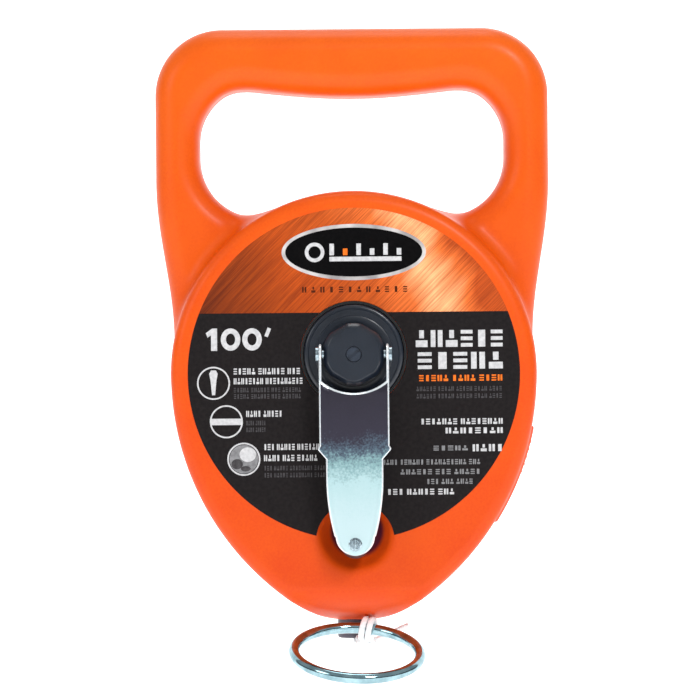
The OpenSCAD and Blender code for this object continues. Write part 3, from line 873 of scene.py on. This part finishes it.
def case():
    """Both shells, parted from one skin that is drawn over a box a little larger than the case."""
    step = 0.9
    low, high = (-66.9, -84.3, -27.1), (67, 116, 27.3)
    verts, faces = skin(case_field, low, high, step)
    whole = bpy.data.meshes.new("case_skin")
    whole.from_pydata([Vector(world(p)) / MM for p in verts.tolist()], [], faces)
    shell("front_shell_skin", whole, True, "front_shell")
    shell("rear_shell_skin", whole, False, "rear_shell")
    bpy.data.meshes.remove(whole)


# ---------------------------------------------------------------- face


def on_face(a, b, h):
    return (a, b, FACE + h)


def label():
    """The printed disc round the hub and the dish: black below, copper foil above."""
    outer = math.degrees(math.asin(LABEL_SPLIT / LABEL_R))
    hole = RECESS_R + 0.1
    hub = math.degrees(math.asin((LABEL_SPLIT - HUB_V) / hole))
    notch_v = -(LABEL_R**2 + NOTCH_V**2 - NOTCH_R**2) / (-2 * NOTCH_V)
    notch_x = math.sqrt(LABEL_R**2 - notch_v**2)
    edge = math.degrees(math.atan2(notch_v, notch_x))
    rim = math.degrees(math.atan2(notch_v - NOTCH_V, notch_x))
    black = (arc(0, 0, LABEL_R, 180 - outer, 180 - edge, 90)
             + arc(0, NOTCH_V, NOTCH_R, 180 - rim, rim, 32)[1:-1]
             + arc(0, 0, LABEL_R, edge, outer, 90)
             + arc(0, HUB_V, hole, hub, -180 - hub, 90))
    copper = arc(0, 0, LABEL_R, outer, 180 - outer, 120) + arc(0, HUB_V, hole, 180 - hub, hub, 48)
    for name, outline, material, nodes in (("label_black", black, "black_print", ["face_label"]),
                                           ("label_copper", copper, "copper_print", [])):
        build = Build()
        build.plate(outline, -0.15, FILM, on_face)
        build.piece(name, material, 35, "case", "printed_label", *nodes)


class Print:
    """Thin printed shapes of one ink on the face."""

    def __init__(self, level=FILM):
        self.build = Build()
        self.level = level

    def shape(self, outline):
        self.build.plate(outline, self.level - 0.02, self.level + 0.03, on_face)

    def bar(self, x0, x1, v0, v1, corner=0.12):
        corner = min(corner, (x1 - x0) / 3, (v1 - v0) / 3)
        outline = []
        for cx, cv, start in ((x1 - corner, v0 + corner, -90), (x1 - corner, v1 - corner, 0),
                              (x0 + corner, v1 - corner, 90), (x0 + corner, v0 + corner, 180)):
            outline += arc(cx, cv, corner, start, start + 90, 3)
        self.shape(outline)

    def stroke(self, x0, v0, x1, v1, width):
        along = Vector((x1 - x0, v1 - v0)).normalized() * width / 2
        self.shape([(x0 + along.y, v0 - along.x), (x1 + along.y, v1 - along.x),
                    (x1 - along.y, v1 + along.x), (x0 - along.y, v0 + along.x)])

    def oval(self, x, v, across, up, steps=64):
        turn = 360 / steps
        self.shape([(x + across * a, v + up * b) for a, b in arc(0, 0, 1, 0, 360 - turn, steps - 1)])

    def ring(self, x, v, across, up, width):
        """An oval band of short straight pieces."""
        inner, low = across - width, up - width
        for turn in range(0, 360, 5):
            (c0, s0), (c1, s1) = arc(0, 0, 1, turn, turn + 5, 1)
            self.shape([(x + inner * c1, v + low * s1), (x + inner * c0, v + low * s0),
                        (x + across * c0, v + up * s0), (x + across * c1, v + up * s1)])

    def mark(self, kind, x0, x1, v0, v1):
        """A letter-sized mark that spells nothing: rows, columns or a short block."""
        wide, tall = x1 - x0, v1 - v0
        if kind == 0:
            for k in range(2):
                self.bar(x0 + 0.6 * wide * k, x0 + 0.4 * wide + 0.6 * wide * k, v0, v1, 0.1)
        elif kind == 1:
            for k in range(3):
                self.bar(x0, x1, v0 + 0.39 * tall * k, v0 + (0.22 + 0.39 * k) * tall, 0.1)
        elif kind == 2:
            self.bar(x0, x1, v0, v0 + 0.4 * tall, 0.1)
            self.bar(x0 + 0.3 * wide, x1 - 0.3 * wide, v0 + 0.52 * tall, v1, 0.1)
        else:
            self.bar(x0 + 0.2 * wide, x1 - 0.2 * wide, v0, v1, 0.1)

    def words(self, x0, x1, v, height, groups, wide=0.66, space=0.22):
        """A row of such marks in groups, spaced like a line of print."""
        total = sum(groups)
        gaps = total - len(groups)
        unit = (x1 - x0) / (total * wide + gaps * space + (len(groups) - 1) * 0.6)
        x = x0
        count = 0
        for group in groups:
            for _ in range(group):
                kind = (count * 7 // 3 + group) % 4
                self.mark(kind, x, x + unit * wide, v - height / 2, v + height / 2)
                x += unit * (wide + space)
                count += 1
            x += unit * (0.6 - space)

    def piece(self, name, material):
        self.build.piece(name, material, 35, "case", "printed_label")


def badge():
    x, v, across, up, rim_width = 0.3, 39.8, 23.6, 9.2, 1.2
    rim = Print(0.07)
    rim.oval(x, v, across, up, 96)
    rim.piece("badge_rim", "silver_print")
    inner = Print(0.1)
    inner.oval(x, v, across - rim_width, up - rim_width, 96)
    inner.piece("badge_field", "badge_print")
    mark, accent = Print(0.14), Print(0.14)
    mark.ring(x - 12.8, v, 3.2, 3.2, 1.2)
    mark.bar(x - 8, x + 15.6, v - 3, v - 1.5)
    for k in range(6):
        tick = x - 7.2 + 4.4 * k
        tall = 3.8 if k % 2 == 0 else 2.2
        (accent if k == 1 else mark).bar(tick - 0.75, tick + 0.75, v - 1, v - 1 + tall)
    mark.piece("badge_mark", "white_print")
    accent.piece("badge_accent", "orange_print")


def numerals():
    """A plain length mark: 100, with a foot tick after it."""
    low, high = 7.9, 15.2
    middle, half = (low + high) / 2, (high - low) / 2
    p = Print()
    p.shape([(-46.6, low), (-44.6, low), (-44.6, high), (-46.2, high), (-48.3, high - 1.5),
             (-47.7, high - 3), (-46.6, high - 2.2)])
    for x in (-40.2, -33.2):
        p.ring(x, middle, 3.2, half, 1.7)
    p.stroke(-28.6, high - 2.8, -27.5, high, 1.2)
    p.piece("numerals", "white_print")


def small_print():
    """Rows of small print: left, right, height, letter height and the letters in each word."""
    rows = {
        "white": [(20.3, 48.7, 11.3, 5.5, [6], 0.74, 0.2), (20.9, 48.7, 4.1, 5.5, [5], 0.74, 0.2),
                  (21.7, 48.5, -15.8, 1.9, [7, 8]), (29.8, 48.5, -18.8, 1.9, [8]),
                  (38.6, 48.5, -24.5, 2.3, [4]), (10.6, 32.4, -38.7, 1.9, [3, 5, 3]),
                  (-39.3, -17.6, 1.1, 2.0, [5, 6, 3]), (-39.3, -16.8, -2.1, 2.0, [8, 10]),
                  (-35.3, -23.6, -12.8, 2.0, [4, 5]), (-29.6, -11.6, -23.7, 2.0, [3, 5, 6]),
                  (-29.6, -12.2, -27.3, 2.0, [4, 3, 5])],
        "grey": [(25.8, 37.0, -24.5, 1.6, [5]), (9.0, 41.0, -29.0, 1.7, [4, 6, 10, 3]),
                 (15.0, 41.0, -32.2, 1.7, [6, 3, 5]), (23.5, 38.5, -35.4, 1.7, [3, 3, 4])],
        "dim": [(20.4, 48.3, -5.1, 1.5, [6, 5, 5, 4, 4]), (20.4, 48.3, -7.5, 1.5, [6, 5, 5, 4, 4]),
                (-39.3, -17.4, -5.0, 1.5, [5, 6, 3, 6]), (-39.3, -17.4, -7.1, 1.5, [5, 6, 3, 6]),
                (-35.3, -29.0, -15.8, 1.5, [4, 5]), (-35.3, -29.0, -18.0, 1.5, [4, 5]),
                (-29.6, -9.6, -30.6, 1.5, [3, 5, 8, 4]), (-29.6, -9.6, -32.9, 1.5, [3, 5, 8, 4])],
        "orange": [(21.3, 48.5, -1.6, 2.0, [5, 4, 4])],
        "brown": [(-16.7, 17.7, 27.6, 1.9, [4, 4, 4], 0.5, 0.55)],
    }
    for colour, lines in rows.items():
        layer = Print()
        for line in lines:
            layer.words(*line)
        layer.piece(f"print_{colour}", f"{colour}_print")


def icons():
    """Three ringed marks: a crank, a snapped line and a heap of chalk."""
    lines, raised, heap, dark = Print(), Print(0.1), Print(), Print(0.1)
    for x, v in ((-45.9, -2.7), (-41.8, -15.3), (-36.2, -27.6)):
        lines.ring(x, v, 5.4, 5.4, 0.5)
    lines.shape([(-46.4, -6.6), (-45.4, -6.6), (-44.9, -1.6), (-44.5, 0.4), (-45.1, 1.5), (-46.7, 1.5),
                 (-47.3, 0.4), (-46.9, -1.6)])
    raised.bar(-47.1, -36.5, -16.4, -14.3)
    raised.oval(-34.9, -26.1, 2.7, 2.4, 20)
    heap.oval(-36.2, -27.6, 4.7, 4.7, 40)
    dark.oval(-38.4, -29.2, 1.9, 1.7, 16)
    dark.oval(-35.6, -30.7, 1.6, 0.9, 16)
    lines.piece("icon_lines", "white_print")
    raised.piece("icon_blobs", "white_print")
    heap.piece("icon_heap", "grey_print")
    dark.piece("icon_shade", "dim_print")


# ---------------------------------------------------------------- hub, crank and knob


def hub_felt():
    """The felt washer under the hub, and a dark ring that rises from its edge to the label, so the gap
    round the hub shows black.
    """
    low, high, rim_in, rim_out, bore = RECESS_W, FACE - 0.1, 16.55, 17.35, 8.9
    profile = [(bore, low), (rim_out, low), (rim_out, high), (rim_out - 0.2, FACE + 0.08),
               (rim_in + 0.15, FACE + 0.08), (rim_in, high), (rim_in, low + 0.6), (bore, low + 0.6)]
    build = Build()
    build.lathe(profile, at_hub)
    build.piece("hub_felt_cup", "dark_felt", 28, "case", "dark_felt", "hub_felt")


def hub_disc():
    back, front = FACE - 2, FACE + 1
    profile = [(1.6, 15.5), (6.9, 15.5), (6.9, back), (16.0, back), (16.3, back + 0.3)]
    profile += [(15.3 + a, front - 1 + b) for a, b in arc(0, 0, 1, 0, 90, 6)]
    profile += [(14.9, front), (14.7, front - 0.15), (12.6, front - 0.15), (12.5, front + 0.3),
                (12.2, front + 0.4), (10.6, front + 0.4), (10.5, front + 0.25), (1.6, front + 0.25)]
    build = Build()
    build.lathe(profile, at_hub)
    build.piece("hub_disc_turned", "dark_hub", 28, "reel", "dark_hub", "hub_disc")


def hex_outline(half, corner):
    """A hexagon with flats left and right, its corners cut by a circle."""
    points = []
    for a in range(0, 360, 3):
        off = (a + 30) % 60 - 30
        r = min(half / math.cos(math.radians(off)), corner)
        points.append((r * math.cos(math.radians(a)), r * math.sin(math.radians(a))))
    return points


def hex_boss():
    top = FACE + 10.2
    levels = [(0, FACE + 1.4), (0, top - 1.6), (0.25, top - 1.2), (1.2, top - 0.25), (1.6, top)]
    rings = []
    for draw_in, level in levels:
        rings.append([at_hub(a, b, level) for a, b in hex_outline(9.75 - draw_in, 10.2 - draw_in)])
    for radius, level in ((2.65, top), (2.55, top - 0.1), (2.5, top - 2.9)):
        rings.append([at_hub(a, b, level) for a, b in hex_outline(radius, radius)])
    build = Build()
    build.loft(rings)
    build.piece("hex_boss_moulded", "dark_hub", 30, "reel", "dark_hub", "hex_boss")


def crank_half(v):
    """Half of the crank's width at a height above the hub's middle, next to nothing at the tip."""
    shoulder, neck, side_from, narrow, side_r, tip_r = -31, -34, -40, 9.3, 72, 6.4
    if v > shoulder + 1.2:
        return CRANK_HALF
    if v > shoulder - 0.6:
        return CRANK_HALF + 0.5 * math.sin(math.pi * (shoulder + 1.2 - v) / 1.8)
    if v > neck:
        return narrow + (CRANK_HALF - narrow) * (v - neck) / (shoulder - 0.6 - neck)
    if v > side_from:
        return narrow
    side = math.sqrt(side_r**2 - (v - side_from) ** 2) - side_r + narrow
    if v < CRANK_TIP + tip_r:
        side = min(side, math.sqrt(max(tip_r**2 - (v - CRANK_TIP - tip_r) ** 2, 0)))
    return max(side, 0.05)


def crank_section(v, top):
    """Across the crank at one height: rolled edges, a faint crown and a top curved round the hub."""
    front, thick, roll, crown = CRANK_FRONT, 1, 0.8, 0.12
    half = crank_half(v)
    r = min(roll, half * 0.9)
    flat = half - r
    points = [(flat + a, front - r + b) for a, b in arc(0, 0, r, 0, 90, 4)]
    points += [(s * flat, front - crown * s * s) for s in np.linspace(1, -1, 21)[1:-1]]
    points += [(-flat - a, front - r + b) for a, b in arc(0, 0, r, 90, 0, 4)]
    low = 0.6 if v == top else 0.0
    points = [(x, w - low * (w - front + r) / r) for x, w in points]
    points += [(x, front - thick) for x, _ in points[::-1]]
    curve_r, curve_v = 16.2, 3.6
    fade = max(0.0, 1 - (top - v) / 12) ** 2
    ring = []
    for x, w in points:
        edge = curve_v - math.sqrt(curve_r**2 - min(abs(x), CRANK_HALF) ** 2)
        ring.append(at_hub(x, v + fade * (edge - top), w))
    return ring[::-1]


def crank_ears(build):
    """The two ears that the crank turns down at its sides to reach the hinge."""
    front, hinge, r = CRANK_FRONT, FACE + 6.75, 3.4
    outline = [(-30.5, front - 0.5), (-30.5, front - 3), (-24, hinge - 0.4), (-2, hinge - r + 0.4)]
    outline += arc(0, hinge, r, -105, 100, 20)
    outline += [(-1.5, hinge + 3.25), (-9, front - 0.5)]
    for side in (-1, 1):
        rings = []
        for depth, draw_in in ((10.4, 0.3), (10.6, 0.0), (11.15, 0.0), (CRANK_HALF, 0.3)):
            rings.append([at_hub(side * depth, a, b) for a, b in inset(outline, draw_in)])
        build.loft(rings if side < 0 else rings[::-1])


def crank_arm():
    """The pressed steel crank, with a painted highlight on its rolled edges and on the bevel at its top.
    """
    top, bevel = -12.6, 0.55
    bend = CRANK_TIP + 6.5 * (1 - np.cos(np.linspace(0, np.pi / 2, 24)))
    rows = {top, *np.linspace(top - bevel, -29, 12), *np.linspace(-29, -35, 25),
            *np.linspace(-35, -60, 26), *bend}
    rings = [crank_section(v, top) for v in sorted(rows, reverse=True)]
    build = Build()
    build.loft(rings, folded=True)
    ends = 2 * (len(rings[0]) // 2 - 1)
    bevel_faces = range(ends, ends + len(rings[0]))
    crank_ears(build)
    obj = build.piece("crank_arm_pressed", "polished_crank", 40, "crank", "polished_steel", "crank_arm")
    # The rolled edges and the top bevel take the painted highlight
    obj.data.materials.append(M["crank_edge_highlight"])
    for face in obj.data.polygons:
        v = (face.center.z - DRUM_Z) / MM - HUB_V
        if face.index in bevel_faces or abs(face.center.x) / MM > crank_half(v) - bevel:
            face.material_index = 1


def knob_rivet():
    front = CRANK_FRONT
    profile = [(0.02, FACE + 0.8), (2.5, FACE + 0.8), (2.5, FACE + 1.4), (1.55, FACE + 1.5),
               (1.55, front), (2.2, front), (2.15, front + 0.25), (1.9, front + 0.42), (1.5, front + 0.45),
               (1.4, front + 0.3), (1.1, front + 0.3), (1.0, front + 0.46), (0.02, front + 0.48)]
    build = Build()
    build.lathe(profile, at_knob, 64)
    build.piece("knob_rivet_peened", "steel_pins", 28, "crank", "steel_pins", "knob_rivet")


def crank_knob():
    back, front, r = FACE + 0.6, CRANK_FRONT - 1.3, 4.8
    profile = [(1.75, back + 1.2), (2.9, back + 1.2), (2.9, back + 0.1), (3.2, back), (r - 0.6, back),
               (r - 0.15, back + 0.25), (r, back + 0.7)]
    for k in range(4):
        level = back + 1.5 + 1.3 * k
        profile += [(r, level), (r - 0.35, level + 0.3), (r - 0.35, level + 0.6), (r, level + 0.9)]
    profile += [(r - 0.6, front - 1.6), (r - 1.0, front - 0.4), (r - 1.4, front), (1.75, front)]
    build = Build()
    build.lathe(profile, at_knob, 64)
    build.piece("crank_knob_grooved", "black_knob", 30, "knob", "black_knob", "crank_knob")


# ---------------------------------------------------------------- ring, door and nozzle


def hook_ring():
    sides = 32
    wire = arc(RING_R, 0, WIRE_R, 0, 360 / sides - 360, sides - 1)
    build = Build()
    build.lathe(wire, lambda a, b, h: from_ring((b, h, RING_R - a)), 180)
    build.piece("hook_ring_wire", "chrome_ring", 60, "ring", "chrome_ring", "hook_ring")


def chalk_door():
    """The sliding door: a curved plate with a rounded rim and five finger ribs."""
    base, top, rib_half, degree = CHANNEL_R + DOOR_GAP, FLANK_R + DOOR_PROUD, 11, 1.58
    rings = []
    for angle in np.linspace(DOOR_TO, DOOR_FROM, 91):
        outline = []
        for w in np.linspace(-DOOR_HALF, DOOR_HALF, 45):
            edge = min((angle - DOOR_FROM) * degree, (DOOR_TO - angle) * degree, DOOR_HALF - abs(w), 1)
            rho = top - 0.9 * (1 - edge) ** 2
            rib = (angle - DOOR_FROM - 3) / 1.6
            if -0.1 < rib < 4.7 and abs(w) < rib_half:
                fade = min(1, (rib_half - abs(w)) / 1.2)
                rho += 0.45 * fade * max(0, math.sin(math.pi * min((rib % 1) / 0.55, 1)))
            outline.append((rho, w))
        outline += [(base, w) for _, w in outline[::-1]]
        turn = math.radians(angle)
        rings.append([(rho * math.cos(turn) - FLANK_X, -rho * math.sin(turn), w) for rho, w in outline])
    build = Build()
    build.loft(rings, folded=True)
    build.piece("chalk_door_ribbed", "orange_door", 40, "door", "orange_door", "chalk_door")


def line_nozzle():
    end, top, r = NOZZLE_END, NOZZLE_TOP, NOZZLE_R
    profile = [(1.4, top), (1.4, end + 2)]
    profile += [(3.4 + a, end + 2 + b) for a, b in arc(0, 0, 2, 180, 270, 8)][1:]
    profile += [(5.2, end), (5.8, end + 0.25), (r, end + 0.8), (r, end + 1.6), (5.7, end + 1.9),
                (5.7, end + 2.4), (r, end + 2.7), (r, top)]
    build = Build()
    build.lathe(profile, lambda a, b, h: (b, h, a), 80)
    build.piece("line_nozzle_turned", "dark_nozzle", 30, "case", "dark_nozzle", "line_nozzle")


def dress_cad_nodes():
    """Procedural materials on the CAD nodes that stay as they are."""
    finishes = {
        "case_screws": "steel_screws", "wiper_felts": "wool_felt", "front_bush": "brass_bush",
        "rear_bush": "brass_bush", "reel_spool": "spool_plastic", "wound_line": "chalked_line",
        "reel_axle": "steel_screws", "drag_spring": "steel_screws", "hub_screw": "dark_screw",
        "hinge_pins": "steel_pins", "line_lead": "chalked_line",
    }
    for node, material in finishes.items():
        obj = frame["nodes"][node]
        for slot in obj.material_slots:
            slot.material = M[material]


camera()
line_end()
studio()
backdrop()
case()
label()
badge()
numerals()
small_print()
icons()
hub_felt()
hub_disc()
hex_boss()
crank_arm()
knob_rivet()
crank_knob()
hook_ring()
chalk_door()
line_nozzle()
dress_cad_nodes()
